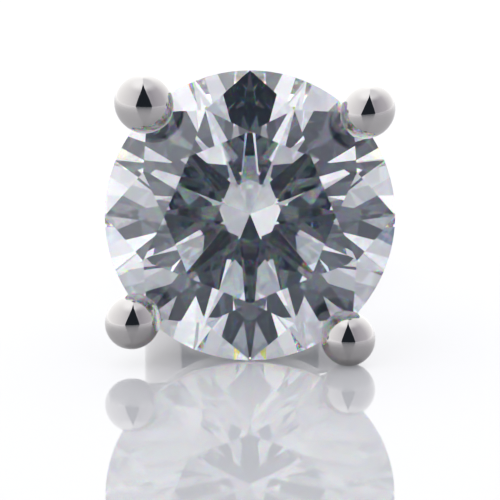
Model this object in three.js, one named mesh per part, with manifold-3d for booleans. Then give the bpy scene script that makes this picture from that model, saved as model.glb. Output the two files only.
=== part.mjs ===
// A stud earring: a round brilliant held by four claws over a two-rail basket, with a post soldered under
// the basket and a butterfly clasp pushed onto the post. It lies on a level surface, on the girdle of its
// stone, one claw and the rear of its clasp, so the stone faces forward and a little up.
//
// Two frames are used. The stud's own frame has its origin at the centre of the girdle, +Z out of the
// stone's table, and +X right and +Y up as the stone is faced. The part's frame has +Z up and the stone
// facing -Y, and its origin is on the surface, under the middle of the part. All lengths are in
// millimetres.
import * as THREE from "three";
import { mergeVertices } from "three/addons/utils/BufferGeometryUtils.js";
import Module from "manifold-3d";

const wasm = await Module();
wasm.setup();

// ---- Driving dimensions ----

// A well-cut round brilliant of 1.00 ct. Shares are of its diameter, apart from the two facet lengths.
const STONE = {
  diameter: 6.5,
  tableShare: 0.59,
  girdleShare: 0.03,
  crownAngle: 33,
  pavilionAngle: 40.7,
  starLength: 0.55, // how far the star facets reach from the table's edge to the girdle
  lowerHalfLength: 0.82, // how far the lower halves reach from the girdle to the culet
  girdleSides: 64,
};

// Each claw's place round the stone, from +X towards +Y, and its hand-finished tip: how far its middle
// stands from the axis, and its size along the radius and across it.
const CLAWS = [
  { azimuth: 41.6, reach: 3.53, along: 1.26, across: 1.12 },
  { azimuth: 133.3, reach: 3.46, along: 1.36, across: 1.3 },
  { azimuth: 222.0, reach: 3.54, along: 1.24, across: 1.18 },
  { azimuth: 308.6, reach: 3.52, along: 1.2, across: 1.18 },
];
const CLAW = {
  footRadius: 1.05, // from the axis, where the wire starts inside the base
  footZ: -3.7,
  headZ: 0.35,
  wireAtFoot: 0.76, // diameters of the tapered wire
  wireAtHead: 0.94,
  tipHeight: 1.1,
  sides: 16,
};

// Each rail is a ring of rounded bar.
const RAILS = [
  { z: -1.25, radius: 2.62, thick: 0.5, tall: 0.56 },
  { z: -2.75, radius: 1.6, thick: 0.42, tall: 0.46 },
];
const RING_SEGMENTS = 40;

const BASE = { top: -3.55, back: -4.0, radius: 1.4, edge: 0.13 };
const POST = { radius: 0.42, end: -13.4, chamfer: 0.15, fillet: 0.2, segments: 24 };

// The clasp is one strip whose ends roll into two scrolls that grip the post.
const CLASP = {
  frontZ: -7.5,
  width: 3.0, // of the strip
  thickness: 0.28,
  scrollRadius: 0.84, // of the middle of the strip
  roundTurn: 270, // degrees of the scroll at its full radius
  tuckedTurn: 60, // degrees more, over which it tightens
  tuckedShare: 0.6,
  degreesPerStep: 15,
};

const SEAT_SCALE = 1.025; // the claws are cut by a stone this much larger
const POST_CLEARANCE = 0.05; // round the post, in the clasp

// ---- Worked out from them ----

const girdleRadius = STONE.diameter / 2;
const halfGirdle = (STONE.girdleShare * STONE.diameter) / 2;
const claspDepth = 2 * CLASP.scrollRadius + CLASP.thickness;
const claspRearZ = CLASP.frontZ - claspDepth;
// The surface touches the stone's girdle and the lower rear edge of the clasp.
const tilt = Math.atan2(girdleRadius - CLASP.width / 2, -claspRearZ - halfGirdle);

const radians = THREE.MathUtils.degToRad;

// ---- Solids from three.js geometry ----

function solidOf(geometry) {
  geometry.deleteAttribute("normal");
  geometry.deleteAttribute("uv");
  const merged = mergeVertices(geometry, 1e-5);
  return new wasm.Manifold(
    new wasm.Mesh({
      numProp: 3,
      vertProperties: merged.attributes.position.array,
      triVerts: new Uint32Array(merged.index.array),
    }),
  );
}

function geometryOf(solid) {
  const { vertProperties, triVerts } = solid.getMesh();
  const geometry = new THREE.BufferGeometry();
  geometry.setAttribute("position", new THREE.BufferAttribute(vertProperties, 3));
  geometry.setIndex(new THREE.BufferAttribute(triVerts, 1));
  const flat = geometry.toNonIndexed();
  flat.computeVertexNormals();
  return flat;
}

// A profile of [radius, z] pairs, in order of rising z on its outside, turned about the Z axis.
function turned(profile, segments) {
  const points = profile.map(([radius, z]) => new THREE.Vector2(radius, z));
  return new THREE.LatheGeometry(points, segments).rotateX(Math.PI / 2);
}

const joined = (solids) => solids.reduce((all, one) => all.add(one));

// ---- Stone ----

const eighth = (k) => radians(45 * k);
const betweenEighths = (k) => radians(45 * k + 22.5);

function atAzimuth(radius, azimuth, z) {
  return new THREE.Vector3(radius * Math.cos(azimuth), radius * Math.sin(azimuth), z);
}

// Grinds away what lies outside the plane of three points. The girdle's centre is always inside the
// stone.
function ground(stone, a, b, c) {
  const plane = new THREE.Plane().setFromCoplanarPoints(a, b, c);
  if (plane.constant > 0) plane.negate();
  const inward = plane.normal.clone().negate();
  return stone.trimByPlane(inward.toArray(), plane.constant);
}

// One half of the stone, crown (side 1) or pavilion (side -1): eight main facets and the sixteen halves
// between them and the girdle. The halves meet the mains at inner points between the eighths.
function groundSide(stone, side, angle, innerRadius) {
  const slope = Math.tan(radians(angle));
  const girdleZ = side * halfGirdle;
  const innerZ = side * (halfGirdle + slope * (girdleRadius - innerRadius * Math.cos(radians(22.5))));
  const inner = (k) => atAzimuth(innerRadius, betweenEighths(k), innerZ);
  let cut = stone;
  for (let k = 0; k < 8; k++) {
    const main = atAzimuth(girdleRadius, eighth(k), girdleZ);
    cut = ground(cut, main, inner(k - 1), inner(k));
    for (const next of [k - 1, k]) {
      const middle = atAzimuth(girdleRadius, betweenEighths(next), girdleZ);
      cut = ground(cut, main, middle, inner(next));
    }
  }
  return { cut, inner };
}

function stoneSolid() {
  const blankHeight = STONE.diameter * 1.2;
  const blank = new THREE.CylinderGeometry(girdleRadius, girdleRadius, blankHeight, STONE.girdleSides);
  const tableRadius = STONE.tableShare * girdleRadius;
  const tableApothem = tableRadius * Math.cos(radians(22.5));
  const tableZ = halfGirdle + (girdleRadius - tableRadius) * Math.tan(radians(STONE.crownAngle));
  const tableCorner = (k) => atAzimuth(tableRadius, eighth(k), tableZ);
  const starRadius = tableApothem + STONE.starLength * (girdleRadius - tableApothem);
  const lowerRadius = (1 - STONE.lowerHalfLength) * girdleRadius;

  let stone = solidOf(blank.rotateX(Math.PI / 2));
  const crown = groundSide(stone, 1, STONE.crownAngle, starRadius);
  stone = groundSide(crown.cut, -1, STONE.pavilionAngle, lowerRadius).cut;
  stone = ground(stone, tableCorner(0), tableCorner(1), tableCorner(2));
  for (let k = 0; k < 8; k++) stone = ground(stone, tableCorner(k), tableCorner(k + 1), crown.inner(k));
  return stone;
}

// ---- Setting: claws, rails, base and post as one soldered piece ----

// A tapered wire from the base up past the girdle, with a rounded tip bent over the crown.
function clawSolid({ azimuth, reach, along, across }) {
  const foot = new THREE.Vector3(CLAW.footRadius, 0, CLAW.footZ);
  const head = new THREE.Vector3(reach, 0, CLAW.headZ);
  const way = head.clone().sub(foot);
  const wire = new THREE.CylinderGeometry(CLAW.wireAtHead / 2, CLAW.wireAtFoot / 2, way.length(), CLAW.sides);
  const upright = new THREE.Vector3(0, 1, 0);
  wire.applyQuaternion(new THREE.Quaternion().setFromUnitVectors(upright, way.normalize()));
  wire.translate(...foot.add(head).divideScalar(2).toArray());

  const tip = new THREE.SphereGeometry(0.5, CLAW.sides, CLAW.sides * 0.75).rotateX(Math.PI / 2);
  tip.scale(along, across, CLAW.tipHeight).translate(reach, 0, CLAW.headZ + 0.05);
  return joined([wire, tip].map((piece) => solidOf(piece.rotateZ(radians(azimuth)))));
}

// A ring whose section is an upright bar with its corners taken off.
function railSolid({ z, radius, thick, tall }) {
  const corner = 0.28 * thick;
  const profile = [
    [-thick / 2, -tall / 2 + corner],
    [-thick / 2 + corner, -tall / 2],
    [thick / 2 - corner, -tall / 2],
    [thick / 2, -tall / 2 + corner],
    [thick / 2, tall / 2 - corner],
    [thick / 2 - corner, tall / 2],
    [-thick / 2 + corner, tall / 2],
    [-thick / 2, tall / 2 - corner],
    [-thick / 2, -tall / 2 + corner],
  ];
  const placed = profile.map(([across, up]) => [radius + across, z + up]);
  return solidOf(turned(placed, RING_SEGMENTS));
}

// The small plate under the basket and the post, from the post's end up.
function basePostSolid() {
  const profile = [
    [0, POST.end],
    [POST.radius - POST.chamfer, POST.end],
    [POST.radius, POST.end + POST.chamfer],
    [POST.radius, BASE.back - POST.fillet],
    [POST.radius + POST.fillet, BASE.back],
    [BASE.radius - BASE.edge, BASE.back],
    [BASE.radius, BASE.back + BASE.edge],
    [BASE.radius, BASE.top - BASE.edge],
    [BASE.radius - BASE.edge, BASE.top],
    [0, BASE.top],
  ];
  return solidOf(turned(profile, POST.segments));
}

function settingSolid(stone) {
  const metal = joined([...CLAWS.map(clawSolid), ...RAILS.map(railSolid), basePostSolid()]);
  return metal.subtract(stone.scale([SEAT_SCALE, SEAT_SCALE, SEAT_SCALE]));
}

// ---- Clasp ----

// The middle line of half of the strip, from the front plate round the scroll: x is across, y is to the
// back.
function halfStrip() {
  const { thickness, scrollRadius, roundTurn, tuckedTurn, tuckedShare, degreesPerStep } = CLASP;
  const centre = POST.radius + POST_CLEARANCE + thickness / 2 + scrollRadius;
  const line = [];
  for (let turn = 0; turn <= roundTurn + tuckedTurn; turn += degreesPerStep) {
    const tucked = Math.max(0, turn - roundTurn) / tuckedTurn;
    const radius = scrollRadius * (1 - (1 - tuckedShare) * tucked);
    const across = centre + radius * Math.sin(radians(turn));
    const back = thickness / 2 + scrollRadius - radius * Math.cos(radians(turn));
    line.push(new THREE.Vector2(across, back));
  }
  return line;
}

// The outline of a strip of the clasp's thickness about a line.
function stripOutline(line) {
  const sideways = (i) => {
    const before = line[Math.max(i - 1, 0)];
    const after = line[Math.min(i + 1, line.length - 1)];
    const along = after.clone().sub(before).normalize();
    return new THREE.Vector2(-along.y, along.x).multiplyScalar(CLASP.thickness / 2);
  };
  const one = line.map((point, i) => point.clone().add(sideways(i)));
  const other = line.map((point, i) => point.clone().sub(sideways(i)));
  return new THREE.Shape([...one, ...other.reverse()]);
}

function claspSolid() {
  const right = halfStrip();
  const left = right.map(({ x, y }) => new THREE.Vector2(-x, y));
  const outline = stripOutline([...left.reverse(), ...right]);
  const strip = new THREE.ExtrudeGeometry(outline, { depth: CLASP.width, bevelEnabled: false });
  strip.translate(0, 0, -CLASP.width / 2).rotateX(-Math.PI / 2).translate(0, 0, CLASP.frontZ);

  const holeRadius = POST.radius + POST_CLEARANCE;
  const drill = new THREE.CylinderGeometry(holeRadius, holeRadius, 4 * CLASP.thickness, POST.segments);
  drill.rotateX(Math.PI / 2).translate(0, 0, CLASP.frontZ);
  return solidOf(strip).subtract(solidOf(drill));
}

// ---- The part ----

const whiteGold = { color: 0xd8d3cd, metalness: 1, roughness: 0.12 };
const MATERIALS = {
  stone: new THREE.MeshStandardMaterial({
    color: 0xf1f5f8, metalness: 0, roughness: 0, opacity: 0.4, transparent: true,
  }),
  setting: new THREE.MeshStandardMaterial(whiteGold),
  clasp: new THREE.MeshStandardMaterial({ ...whiteGold, roughness: 0.2 }),
};

function named(name, solid) {
  const mesh = new THREE.Mesh(geometryOf(solid), MATERIALS[name]);
  mesh.name = name;
  return mesh;
}

const stone = stoneSolid();
const stud = new THREE.Group();
stud.add(named("stone", stone), named("setting", settingSolid(stone)), named("clasp", claspSolid()));
stud.rotation.x = Math.PI / 2 - tilt;

const earring = new THREE.Group();
earring.add(stud);
const box = new THREE.Box3().setFromObject(earring, true);
const middle = box.getCenter(new THREE.Vector3());
stud.position.set(-middle.x, -middle.y, -box.min.z);

export default earring;
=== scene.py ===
"""Looks of a stud earring: a round brilliant in a polished white gold claw setting, with a butterfly back.

The pieces are built in the stud's own frame, in millimetres, as the CAD solids are: the origin at the
centre of the girdle, +Z out of the stone's table, +X right and +Y up as the stone is faced. They are then
turned and moved to where the earring lies.
"""

import math

import bmesh
import bpy
import numpy as np
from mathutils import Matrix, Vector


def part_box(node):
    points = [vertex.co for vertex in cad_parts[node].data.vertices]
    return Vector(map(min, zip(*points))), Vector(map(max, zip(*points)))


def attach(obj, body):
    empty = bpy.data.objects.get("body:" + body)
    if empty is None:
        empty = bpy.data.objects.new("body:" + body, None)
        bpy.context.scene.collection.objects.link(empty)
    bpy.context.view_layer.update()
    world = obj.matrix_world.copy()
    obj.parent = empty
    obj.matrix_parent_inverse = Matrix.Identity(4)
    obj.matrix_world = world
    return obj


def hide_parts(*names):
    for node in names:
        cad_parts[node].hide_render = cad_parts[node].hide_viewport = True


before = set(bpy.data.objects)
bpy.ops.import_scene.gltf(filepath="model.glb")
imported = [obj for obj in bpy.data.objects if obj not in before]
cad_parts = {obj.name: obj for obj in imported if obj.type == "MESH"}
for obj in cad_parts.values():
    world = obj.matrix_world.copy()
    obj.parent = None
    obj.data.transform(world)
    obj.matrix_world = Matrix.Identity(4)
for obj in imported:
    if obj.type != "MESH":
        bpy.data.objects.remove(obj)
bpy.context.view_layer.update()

import openvdb
from mathutils import Matrix, Vector

# ---- Sizes, in millimetres, as in the CAD source, with fillets and rounded edges added ----

STONE_RADIUS = 3.25
HALF_GIRDLE = 0.03 * STONE_RADIUS
TABLE_RADIUS = 0.59 * STONE_RADIUS
CROWN_SLOPE = math.tan(math.radians(33))
PAVILION_SLOPE = math.tan(math.radians(40.7))
STAR_LENGTH = 0.55
LOWER_HALF_RADIUS = 0.18 * STONE_RADIUS
GIRDLE_SIDES = 192
SEAT_SCALE = 1.004

# azimuth in degrees, reach of the tip's middle, its size along the radius and across it
CLAWS = (
    (41.6, 3.53, 1.26, 1.12),
    (133.3, 3.46, 1.36, 1.30),
    (222.0, 3.54, 1.24, 1.18),
    (308.6, 3.52, 1.20, 1.18),
)
# radius and z of each wire's foot, high enough on the wire's line for its round end to stay inside the base
CLAW_FOOT = (1.2, -3.45)
CLAW_HEAD_Z = 0.35
WIRE_AT_FOOT = 0.38
WIRE_AT_HEAD = 0.47
TIP_Z = CLAW_HEAD_Z + 0.05
TIP_HALF_HEIGHT = 0.55

# z, radius of the middle of the bar, half its thickness, half its height
RAILS = ((-1.25, 2.62, 0.25, 0.28), (-2.75, 1.6, 0.21, 0.23))
RAIL_EDGE = 0.14
BASE_TOP = -3.55
BASE_BACK = -4.0
BASE_RADIUS = 1.4
BASE_EDGE = 0.12
POST_RADIUS = 0.42
POST_END = -13.4
POST_EDGE = 0.16
SOLDER_FILLET = 0.12
TIP_FILLET = 0.25
POST_FILLET = 0.28

CLASP_FRONT = -7.5
CLASP_WIDTH = 3.0
SHEET = 0.28
SHEET_EDGE = 0.42 * SHEET
SCROLL_RADIUS = 0.84
CLASP_HOLE = POST_RADIUS + 0.05
HOLE_SIDES = 64
# the scroll's turn in degrees: where its end starts to tuck in, where it stops, and how much smaller its
# radius gets for each degree past the start
SCROLL_TUCK = 270
SCROLL_STOP = 330
SCROLL_SHRINK = 0.4 / 60

TILT = math.atan2(
    STONE_RADIUS - CLASP_WIDTH / 2,
    -CLASP_FRONT + 2 * SCROLL_RADIUS + SHEET - HALF_GIRDLE,
)
MM = 0.001

DIAMOND_IOR = 2.42
# the colour of the light that leaves the stone, and the index it leaves with
DISPERSION = (((1, 0, 0), 2.411), ((0, 1, 0), 2.42), ((0, 0, 1), 2.433))
WHITE_GOLD = (0.57, 0.555, 0.54, 1)

# how far above the stone's axis the camera looks from, in degrees; then, in metres, how far off it stands and
# how far below the stone's middle it aims
ABOVE_AXIS = 2.9
CAMERA_DISTANCE = 0.28
AIM_BELOW_STONE = 0.0008

# the tent's wall: degrees round from the camera's side, positive to its right, and the light there
TENT_WALL = (
    (-180, (2.05, 2.05, 2.06)),
    (-140, (1.75, 1.75, 1.77)),
    (-95, (1.45, 1.44, 1.47)),
    (-30, (1.08, 1.07, 1.12)),
    (30, (0.64, 0.63, 0.69)),
    (80, (0.85, 0.83, 0.9)),
    (140, (1.6, 1.6, 1.63)),
    (180, (2.05, 2.05, 2.06)),
)
TENT_ROOF_LEFT = (1.7, 1.7, 1.74)
TENT_ROOF_RIGHT = (1.2, 1.2, 1.26)
TENT_STRENGTH = 0.88

# the dark slit of the tent, in degrees: where its middle is, half its width at the horizon, how high its
# sides would meet and how soft its edges are
SLIT_MIDDLE = 0.5
SLIT_HALF = 28
SLIT_APEX = 100
SLIT_SOFT = 1.2
SLIT_LIGHT = (0.05, 0.062, 0.082)

# points that the picture's brightness curve passes through, between black and white
CONTRAST = ((0.12, 0.07), (0.4, 0.385), (0.75, 0.77))
LIGHT_BOUNCES = 32


# ---- Placing ----


def lying():
    """The matrix from the stud's frame in millimetres to the row frame in metres."""
    turn = Matrix.Rotation(math.pi / 2 - TILT, 4, "X")
    low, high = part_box("stone")
    # the girdle's rim is the lowest point of the stone, and its culet the furthest back
    culet = turn @ Vector((0, 0, -HALF_GIRDLE - STONE_RADIUS * PAVILION_SLOPE))
    middle = Vector(((low.x + high.x) / 2, high.y - culet.y * MM, 0))
    rim = turn @ Vector((0, -STONE_RADIUS, -HALF_GIRDLE))
    middle.z = low.z - rim.z * MM
    return Matrix.Translation(middle) @ turn @ Matrix.Scale(MM, 4)


PLACE = lying()


def placed(mesh, name):
    """A new object of a mesh made in the stud's frame, where the earring lies."""
    mesh.transform(PLACE)
    mesh.name = name
    obj = bpy.data.objects.new(name, mesh)
    bpy.context.scene.collection.objects.link(obj)
    return obj


def add_cylinder(bm, radius, height, sides, middle_z):
    """Adds a closed cylinder along Z."""
    bmesh.ops.create_cone(
        bm,
        cap_ends=True,
        segments=sides,
        radius1=radius,
        radius2=radius,
        depth=height,
        matrix=Matrix.Translation((0, 0, middle_z)),
    )


# ---- Stone ----


def around(radius, degrees, z):
    """The point at a radius and an angle round the stone's axis."""
    a = math.radians(degrees)
    return Vector((radius * math.cos(a), radius * math.sin(a), z))


def facet_planes():
    """Each facet of the brilliant as (a point, its outward normal)."""
    corners = []
    half_facet_cos = math.cos(math.radians(22.5))
    star_radius = TABLE_RADIUS * half_facet_cos
    star_radius += STAR_LENGTH * (STONE_RADIUS - star_radius)
    for side, slope, inner_radius in (
        (1, CROWN_SLOPE, star_radius),
        (-1, PAVILION_SLOPE, LOWER_HALF_RADIUS),
    ):
        girdle_z = side * HALF_GIRDLE
        inner_z = girdle_z + side * slope * (STONE_RADIUS - inner_radius * half_facet_cos)
        for k in range(8):
            main = around(STONE_RADIUS, 45 * k, girdle_z)
            before = around(inner_radius, 45 * k - 22.5, inner_z)
            after = around(inner_radius, 45 * k + 22.5, inner_z)
            corners.append((main, before, after))
            corners.append((main, around(STONE_RADIUS, 45 * k - 22.5, girdle_z), before))
            corners.append((main, around(STONE_RADIUS, 45 * k + 22.5, girdle_z), after))
            if side == 1:
                table_z = HALF_GIRDLE + CROWN_SLOPE * (STONE_RADIUS - TABLE_RADIUS)
                table = [around(TABLE_RADIUS, 45 * (k + j), table_z) for j in range(3)]
                corners.append((table[0], table[1], after))
                if k == 0:
                    corners.append(tuple(table))
    planes = []
    for a, b, c in corners:
        normal = (b - a).cross(c - a).normalized()
        planes.append((a, normal if normal.dot(a) > 0 else -normal))
    return planes


FACETS = facet_planes()


def stone_mesh(scale=1.0):
    """The brilliant, cut out of a many-sided prism by its facet planes. Its girdle has material index 1."""
    bm = bmesh.new()
    add_cylinder(bm, STONE_RADIUS, 2 * STONE_RADIUS, GIRDLE_SIDES, 0)
    for point, normal in FACETS:
        sliced = bmesh.ops.bisect_plane(
            bm,
            geom=bm.verts[:] + bm.edges[:] + bm.faces[:],
            plane_co=point,
            plane_no=normal,
            clear_outer=True,
        )
        edges = [e for e in sliced["geom_cut"] if isinstance(e, bmesh.types.BMEdge)]
        if edges:
            bmesh.ops.contextual_create(bm, geom=edges)
    bmesh.ops.remove_doubles(bm, verts=bm.verts, dist=1e-4)
    bmesh.ops.recalc_face_normals(bm, faces=bm.faces)
    bmesh.ops.scale(bm, vec=(scale,) * 3, verts=bm.verts)
    for face in bm.faces:
        girdle = abs(face.normal.z) < 0.01
        face.smooth = girdle
        face.material_index = int(girdle)
    mesh = bpy.data.meshes.new("stone")
    bm.to_mesh(mesh)
    bm.free()
    return mesh


# ---- Setting, as a smooth union of rounded forms ----


def blended(a, b, fillet):
    """The union of two distance fields with a fillet where they meet."""
    h = np.clip(0.5 + 0.5 * (b - a) / fillet, 0, 1)
    return b + (a - b) * h - fillet * h * (1 - h)


def tapered_wire(p, start, end, start_radius, end_radius):
    """The distance to a wire with round ends."""
    way = end - start
    length = np.linalg.norm(way)
    way = way / length
    along = np.clip((p - start) @ way, 0, length)
    off = np.linalg.norm(p - start - along[..., None] * way, axis=-1)
    return off - (start_radius + (end_radius - start_radius) * along / length)


def rounded_section(past_side, past_end, corner):
    """The distance to a section with rounded corners, from how far points are past its sides and ends."""
    across = past_side + corner
    up = past_end + corner
    outside = np.hypot(np.maximum(across, 0), np.maximum(up, 0))
    return outside + np.minimum(np.maximum(across, up), 0) - corner


def rail_ring(radial, z, rail):
    """A ring whose section is an upright bar with rounded corners."""
    middle_z, radius, half_thick, half_tall = rail
    past_side = np.abs(radial - radius) - half_thick
    past_end = np.abs(z - middle_z) - half_tall
    return rounded_section(past_side, past_end, RAIL_EDGE)


def rounded_disc(radial, z, radius, low, high, corner):
    """A disc round the axis, from low to high, with rounded edges."""
    return rounded_section(radial - radius, np.abs(z - (low + high) / 2) - (high - low) / 2, corner)


def claw_tip(p, claw):
    """An egg-shaped tip."""
    azimuth, reach, along, across = claw
    a = math.radians(azimuth)
    out = np.array((math.cos(a), math.sin(a), 0))
    side = np.array((-math.sin(a), math.cos(a), 0))
    local = np.stack(
        (
            (p @ out - reach) / (along / 2),
            (p @ side) / (across / 2),
            (p[..., 2] - TIP_Z) / TIP_HALF_HEIGHT,
        ),
        axis=-1,
    )
    return (np.linalg.norm(local, axis=-1) - 1) * min(along, across) / 2


def setting_field(p):
    """The distance, roughly, of points p to the surface of the setting; negative inside."""
    radial = np.hypot(p[..., 0], p[..., 1])
    z = p[..., 2]
    field = rounded_disc(radial, z, BASE_RADIUS, BASE_BACK, BASE_TOP, BASE_EDGE)
    post = rounded_disc(radial, z, POST_RADIUS, POST_END, BASE_TOP, POST_EDGE)
    field = blended(field, post, POST_FILLET)
    for claw in CLAWS:
        azimuth, reach = claw[:2]
        foot = np.array(around(CLAW_FOOT[0], azimuth, CLAW_FOOT[1]))
        head = np.array(around(reach, azimuth, CLAW_HEAD_Z))
        wire = tapered_wire(p, foot, head, WIRE_AT_FOOT, WIRE_AT_HEAD)
        field = blended(field, blended(wire, claw_tip(p, claw), TIP_FILLET), SOLDER_FILLET)
    for rail in RAILS:
        field = blended(field, rail_ring(radial, z, rail), SOLDER_FILLET)
    return field


def field_gradient(p):
    """Which way the setting's field grows at points p, and how steeply."""
    step = 1e-3
    parts = []
    for axis in range(3):
        offset = np.zeros(3)
        offset[axis] = step
        parts.append((setting_field(p + offset) - setting_field(p - offset)) / (2 * step))
    return np.stack(parts, axis=-1)


def setting_mesh():
    """The setting's surface on a fine grid, moved exactly onto the field's zero."""
    voxel = 0.05
    # the box holds the claw tips with room to spare
    low = np.array((-4.4, -4.4, POST_END - 0.2))
    high = np.array((4.4, 4.4, 1.2))
    counts = np.ceil((high - low) / voxel).astype(int)
    values = np.empty(counts, np.float32)
    x, y = (low[i] + voxel * np.arange(counts[i]) for i in (0, 1))
    layer = np.empty((counts[0], counts[1], 3), np.float32)
    layer[..., 0] = x[:, None]
    layer[..., 1] = y[None, :]
    for k in range(counts[2]):
        layer[..., 2] = low[2] + voxel * k
        values[:, :, k] = setting_field(layer)
    grid = openvdb.FloatGrid(background=1.0)
    grid.copyFromArray(values)
    points, quads = grid.convertToQuads(isovalue=0.0)
    points = points.astype(float) * voxel + low
    # in a fillet's crease the field is nearly level, so the steps there are held short
    least_steepness = 0.05
    for _ in range(3):
        gradient = field_gradient(points)
        steepness = np.maximum((gradient**2).sum(-1), least_steepness)
        points -= gradient * (setting_field(points) / steepness)[:, None]
    mesh = bpy.data.meshes.new("setting")
    mesh.from_pydata(points.tolist(), [], quads[:, ::-1].tolist())
    mesh.validate()
    return mesh


def cut(mesh, tool_mesh):
    """mesh less tool_mesh. The cut faces have material index 1."""
    for polygon in tool_mesh.polygons:
        polygon.material_index = 1
    scratch = [bpy.data.objects.new(name, data) for name, data in (("body", mesh), ("tool", tool_mesh))]
    for obj in scratch:
        bpy.context.scene.collection.objects.link(obj)
        while len(obj.data.materials) < 2:
            obj.data.materials.append(None)
    boolean = scratch[0].modifiers.new("cut", "BOOLEAN")
    boolean.operation = "DIFFERENCE"
    boolean.solver = "EXACT"
    boolean.material_mode = "INDEX"
    boolean.object = scratch[1]
    bpy.context.view_layer.update()
    evaluated = scratch[0].evaluated_get(bpy.context.evaluated_depsgraph_get())
    result = bpy.data.meshes.new_from_object(evaluated)
    for obj in scratch:
        bpy.data.objects.remove(obj)
    return result


def shade_from_field(mesh):
    """Gives the rounded surfaces the field's exact normals, and leaves the cut faces flat."""
    points = np.empty(len(mesh.vertices) * 3)
    mesh.vertices.foreach_get("co", points)
    normals = field_gradient(points.reshape(-1, 3))
    normals /= np.maximum(np.linalg.norm(normals, axis=1), 1e-9)[:, None]
    flat = np.empty(len(mesh.polygons), int)
    mesh.polygons.foreach_get("material_index", flat)
    totals = np.empty(len(mesh.polygons), int)
    mesh.polygons.foreach_get("loop_total", totals)
    face_normals = np.empty(len(mesh.polygons) * 3)
    mesh.polygons.foreach_get("normal", face_normals)
    loop_vertices = np.empty(len(mesh.loops), int)
    mesh.loops.foreach_get("vertex_index", loop_vertices)
    loop_flat = np.repeat(flat, totals)[:, None]
    loop_face_normals = np.repeat(face_normals.reshape(-1, 3), totals, axis=0)
    split_normals = np.where(loop_flat, loop_face_normals, normals[loop_vertices])
    mesh.normals_split_custom_set(split_normals.tolist())


# ---- Clasp ----


def scroll_line():
    """The middle of the strip, from the plate's middle round one scroll, as (across, back) points."""
    centre = CLASP_HOLE + SHEET / 2 + SCROLL_RADIUS
    line = [(x, SHEET / 2) for x in np.linspace(0, centre, 12, endpoint=False)]
    for turn in np.arange(0, SCROLL_STOP + 1, 5.0):
        radius = SCROLL_RADIUS * (1 - SCROLL_SHRINK * max(0.0, turn - SCROLL_TUCK))
        a = math.radians(turn)
        line.append((centre + radius * math.sin(a), SHEET / 2 + SCROLL_RADIUS - radius * math.cos(a)))
    return line


def sheet_section():
    """The strip's section, as (through the sheet, across the strip) points, with rounded edges."""
    section = []
    for corner, (through, across) in enumerate(((1, 1), (-1, 1), (-1, -1), (1, -1))):
        for a in np.radians(np.linspace(90 * corner, 90 * corner + 90, 6)):
            section.append(
                (
                    through * (SHEET / 2 - SHEET_EDGE) + SHEET_EDGE * math.cos(a),
                    across * (CLASP_WIDTH / 2 - SHEET_EDGE) + SHEET_EDGE * math.sin(a),
                )
            )
    return section


def clasp_mesh():
    """The strip swept along both scrolls, with a hole for the post."""
    right = scroll_line()
    line = np.array([(-x, back) for x, back in right[:0:-1]] + right)
    tangent = np.gradient(line, axis=0)
    tangent /= np.linalg.norm(tangent, axis=1)[:, None]
    sideways = np.stack((-tangent[:, 1], tangent[:, 0]), axis=1)
    section = sheet_section()
    bm = bmesh.new()
    rings = []
    for i, (middle, side) in enumerate(zip(line, sideways)):
        # the strip's two ends are a little thinner and narrower, so that they look rounded
        thinner, narrower = (0.7, 0.97) if i in (0, len(line) - 1) else (1, 1)
        ring = []
        for through, across in section:
            x, back = middle + side * through * thinner
            ring.append(bm.verts.new((x, across * narrower, CLASP_FRONT - back)))
        rings.append(ring)
    for one, other in zip(rings, rings[1:]):
        for j in range(len(section)):
            n = (j + 1) % len(section)
            bm.faces.new((one[j], other[j], other[n], one[n]))
    bm.faces.new(rings[0])
    bm.faces.new(rings[-1][::-1])
    bmesh.ops.recalc_face_normals(bm, faces=bm.faces)
    mesh = bpy.data.meshes.new("clasp")
    bm.to_mesh(mesh)
    bm.free()

    drill = bpy.data.meshes.new("drill")
    bm = bmesh.new()
    add_cylinder(bm, CLASP_HOLE, 4 * SHEET, HOLE_SIDES, CLASP_FRONT)
    bm.to_mesh(drill)
    bm.free()
    return cut(mesh, drill)


# ---- Materials ----


def node_material(name):
    """A new material, its nodes, its links and its Principled shader."""
    material = bpy.data.materials.new(name)
    material.use_nodes = True
    tree = material.node_tree
    return material, tree.nodes, tree.links, tree.nodes["Principled BSDF"]


def white_gold(name, roughness_low, roughness_high, scratch):
    """Polished white gold, with faint smears in its gloss and fine marks of the polishing wheel."""
    material, nodes, links, shader = node_material(name)
    shader.inputs["Base Color"].default_value = WHITE_GOLD
    shader.inputs["Metallic"].default_value = 1.0
    # places are in metres, so the smears are about a millimetre across and the marks a third of one
    place = nodes.new("ShaderNodeTexCoord")
    smears = nodes.new("ShaderNodeTexNoise")
    smears.inputs["Scale"].default_value = 900
    smears.inputs["Detail"].default_value = 6
    links.new(place.outputs["Object"], smears.inputs["Vector"])
    roughness = nodes.new("ShaderNodeMapRange")
    roughness.inputs["From Min"].default_value = 0.35
    roughness.inputs["From Max"].default_value = 0.7
    roughness.inputs["To Min"].default_value = roughness_low
    roughness.inputs["To Max"].default_value = roughness_high
    links.new(smears.outputs["Fac"], roughness.inputs["Value"])
    links.new(roughness.outputs["Result"], shader.inputs["Roughness"])
    polish = nodes.new("ShaderNodeTexNoise")
    polish.inputs["Scale"].default_value = 3000
    polish.inputs["Detail"].default_value = 4
    links.new(place.outputs["Object"], polish.inputs["Vector"])
    bump = nodes.new("ShaderNodeBump")
    bump.inputs["Strength"].default_value = scratch
    bump.inputs["Distance"].default_value = 0.00001
    links.new(polish.outputs["Fac"], bump.inputs["Height"])
    links.new(bump.outputs["Normal"], shader.inputs["Normal"])
    return material


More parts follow.
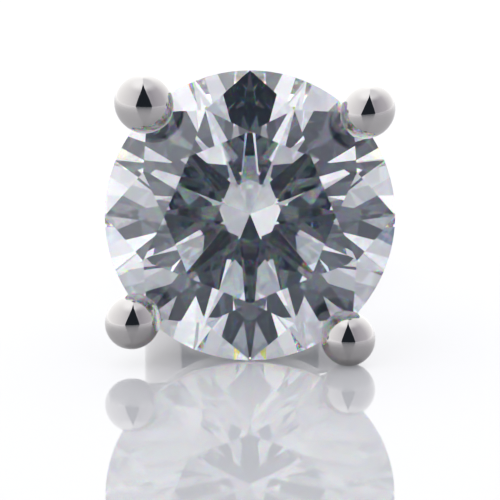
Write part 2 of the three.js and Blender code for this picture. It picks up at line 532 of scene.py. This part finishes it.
def diamond():
    """Clear diamond. Light enters as through plain glass, and leaves split into red, green and blue."""
    material, nodes, links, shader = node_material("diamond")
    nodes.remove(shader)
    entry = nodes.new("ShaderNodeBsdfGlass")
    entry.inputs["Roughness"].default_value = 0
    entry.inputs["IOR"].default_value = DIAMOND_IOR
    split = None
    for colour, ior in DISPERSION:
        lobe = nodes.new("ShaderNodeBsdfRefraction")
        lobe.inputs["Color"].default_value = (*colour, 1)
        lobe.inputs["Roughness"].default_value = 0
        lobe.inputs["IOR"].default_value = ior
        if split is None:
            split = lobe.outputs[0]
            continue
        both = nodes.new("ShaderNodeAddShader")
        links.new(split, both.inputs[0])
        links.new(lobe.outputs[0], both.inputs[1])
        split = both.outputs[0]
    inner_mirror = nodes.new("ShaderNodeBsdfGlossy")
    inner_mirror.inputs["Roughness"].default_value = 0
    inner_mirror.inputs["Color"].default_value = (0.982, 0.992, 1, 1)
    fresnel = nodes.new("ShaderNodeFresnel")
    fresnel.inputs["IOR"].default_value = DIAMOND_IOR
    leaving = nodes.new("ShaderNodeMixShader")
    links.new(fresnel.outputs[0], leaving.inputs[0])
    links.new(split, leaving.inputs[1])
    links.new(inner_mirror.outputs[0], leaving.inputs[2])
    side = nodes.new("ShaderNodeMixShader")
    links.new(nodes.new("ShaderNodeNewGeometry").outputs["Backfacing"], side.inputs[0])
    links.new(entry.outputs[0], side.inputs[1])
    links.new(leaving.outputs[0], side.inputs[2])
    links.new(side.outputs[0], nodes["Material Output"].inputs["Surface"])
    return material


def girdle_glass():
    """The girdle's ground surface."""
    material, _, _, shader = node_material("girdle")
    shader.inputs["Base Color"].default_value = (0.97, 0.98, 1, 1)
    shader.inputs["Roughness"].default_value = 0.22
    shader.inputs["IOR"].default_value = DIAMOND_IOR
    shader.inputs["Transmission Weight"].default_value = 1
    return material


# ---- Pieces ----

stone = placed(stone_mesh(), "brilliant")
stone.data.materials.clear()
stone.data.materials.append(diamond())
stone.data.materials.append(girdle_glass())
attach(stone, "root")
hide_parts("stone")

setting_body = cut(setting_mesh(), stone_mesh(SEAT_SCALE))
shade_from_field(setting_body)
setting = placed(setting_body, "claw_setting")
setting.data.materials.clear()
setting.data.materials.append(white_gold("polished_white_gold", 0.03, 0.09, 0.15))
for polygon in setting.data.polygons:
    polygon.material_index = 0
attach(setting, "root")
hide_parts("setting")

clasp = placed(clasp_mesh(), "butterfly_clasp")
clasp.data.materials.clear()
clasp.data.materials.append(white_gold("white_gold_sheet", 0.10, 0.22, 0.35))
for polygon in clasp.data.polygons:
    polygon.material_index = 0
    polygon.use_smooth = True
clasp.data.set_sharp_from_angle(angle=math.radians(40))
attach(clasp, "root")
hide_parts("clasp")

# ---- Floor, light and camera ----


def floor():
    """A glossy white acrylic sheet with a faint painted glow: an emission that stands in for light coming up
    through the sheet and lightens the shade round the earring.
    """
    mesh = bpy.data.meshes.new("floor")
    half = 1.5
    corners = [(-half, -half, 0), (half, -half, 0), (half, half, 0), (-half, half, 0)]
    mesh.from_pydata(corners, [], [(0, 1, 2, 3)])
    obj = bpy.data.objects.new("floor", mesh)
    bpy.context.scene.collection.objects.link(obj)
    material, _, _, shader = node_material("white_acrylic")
    shader.inputs["Base Color"].default_value = (0.40, 0.402, 0.415, 1)
    # painted glow: the floor gives off a little light of its own, standing in for light from below, which
    # lightens the shade under and beside the stone
    shader.inputs["Emission Color"].default_value = (0.95, 0.965, 1, 1)
    shader.inputs["Emission Strength"].default_value = 0.2
    shader.inputs["Roughness"].default_value = 0.03
    shader.inputs["IOR"].default_value = 1.56
    mesh.materials.append(material)


def tent():
    """A white tent round the earring, brighter on the left and behind, with a dark slit in front."""
    world = bpy.data.worlds.new("tent")
    bpy.context.scene.world = world
    world.use_nodes = True
    nodes, links = world.node_tree.nodes, world.node_tree.links
    background = nodes["Background"]

    def math_node(operation, *values):
        """A Math node's output."""
        node = nodes.new("ShaderNodeMath")
        node.operation = operation
        for socket, value in zip(node.inputs, values):
            if isinstance(value, (int, float)):
                socket.default_value = value
            else:
                links.new(value, socket)
        return node.outputs[0]

    def smooth(value, start, end):
        """A smooth rise from 0 to 1 as value goes from start to end."""
        node = nodes.new("ShaderNodeMapRange")
        node.interpolation_type = "SMOOTHSTEP"
        links.new(value, node.inputs["Value"])
        node.inputs["From Min"].default_value = start
        node.inputs["From Max"].default_value = end
        return node.outputs["Result"]

    def mixed(factor, one, other):
        """One colour where factor is 0, the other where it is 1."""
        node = nodes.new("ShaderNodeMix")
        node.data_type = "RGBA"
        links.new(factor, node.inputs["Factor"])
        for socket, value in zip((node.inputs[6], node.inputs[7]), (one, other)):
            if isinstance(value, tuple):
                socket.default_value = (*value, 1)
            else:
                links.new(value, socket)
        return node.outputs[2]

    way = nodes.new("ShaderNodeSeparateXYZ")
    links.new(nodes.new("ShaderNodeTexCoord").outputs["Generated"], way.inputs[0])
    # degrees round from the camera's side, positive to its right, and degrees above the horizon
    turn = math_node("ARCTAN2", way.outputs["X"], math_node("MULTIPLY", way.outputs["Y"], -1))
    turn = math_node("MULTIPLY", turn, math.degrees(1))
    rise = math_node("MULTIPLY", math_node("ARCSINE", way.outputs["Z"]), math.degrees(1))

    walls = nodes.new("ShaderNodeValToRGB")
    links.new(math_node("MULTIPLY_ADD", turn, 1 / 360, 0.5), walls.inputs["Fac"])
    ramp = walls.color_ramp
    while len(ramp.elements) < len(TENT_WALL):
        ramp.elements.new(0.5)
    for element, (degrees, colour) in zip(ramp.elements, TENT_WALL):
        element.position = degrees / 360 + 0.5
        element.color = (*colour, 1)
    roof = mixed(smooth(turn, -60, 60), TENT_ROOF_LEFT, TENT_ROOF_RIGHT)
    # between 48 and 72 degrees up the wall turns into the roof
    light = mixed(smooth(rise, 48, 72), walls.outputs["Color"], roof)
    slit_half = math_node("MULTIPLY_ADD", rise, -SLIT_HALF / SLIT_APEX, SLIT_HALF)
    from_middle = math_node("ABSOLUTE", math_node("SUBTRACT", turn, SLIT_MIDDLE))
    into_slit = math_node("SUBTRACT", slit_half, from_middle)
    light = mixed(smooth(into_slit, -SLIT_SOFT, SLIT_SOFT), light, SLIT_LIGHT)
    links.new(light, background.inputs["Color"])
    background.inputs["Strength"].default_value = TENT_STRENGTH


def camera():
    """A long lens, far off for so small a thing, aimed a little below the stone's middle."""
    data = bpy.data.cameras.new("camera")
    obj = bpy.data.objects.new("camera", data)
    bpy.context.scene.collection.objects.link(obj)
    bpy.context.scene.camera = obj
    elevation = TILT + math.radians(ABOVE_AXIS)
    data.lens = 900
    data.sensor_width = 36
    data.clip_start = 0.01
    data.clip_end = 3
    target = PLACE.translation - Vector((0, 0, AIM_BELOW_STONE))
    back = Vector((0, -math.cos(elevation), math.sin(elevation)))
    obj.location = target + back * CAMERA_DISTANCE
    obj.rotation_mode = "QUATERNION"
    obj.rotation_quaternion = (-back).to_track_quat("-Z", "Y")


floor()
tent()
camera()
scene = bpy.context.scene
scene.view_settings.view_transform = "Standard"
scene.view_settings.use_curve_mapping = True
contrast = scene.view_settings.curve_mapping
for x, y in CONTRAST:
    contrast.curves[3].points.new(x, y)
contrast.update()
scene.cycles.max_bounces = LIGHT_BOUNCES
scene.cycles.glossy_bounces = LIGHT_BOUNCES
scene.cycles.transmission_bounces = LIGHT_BOUNCES
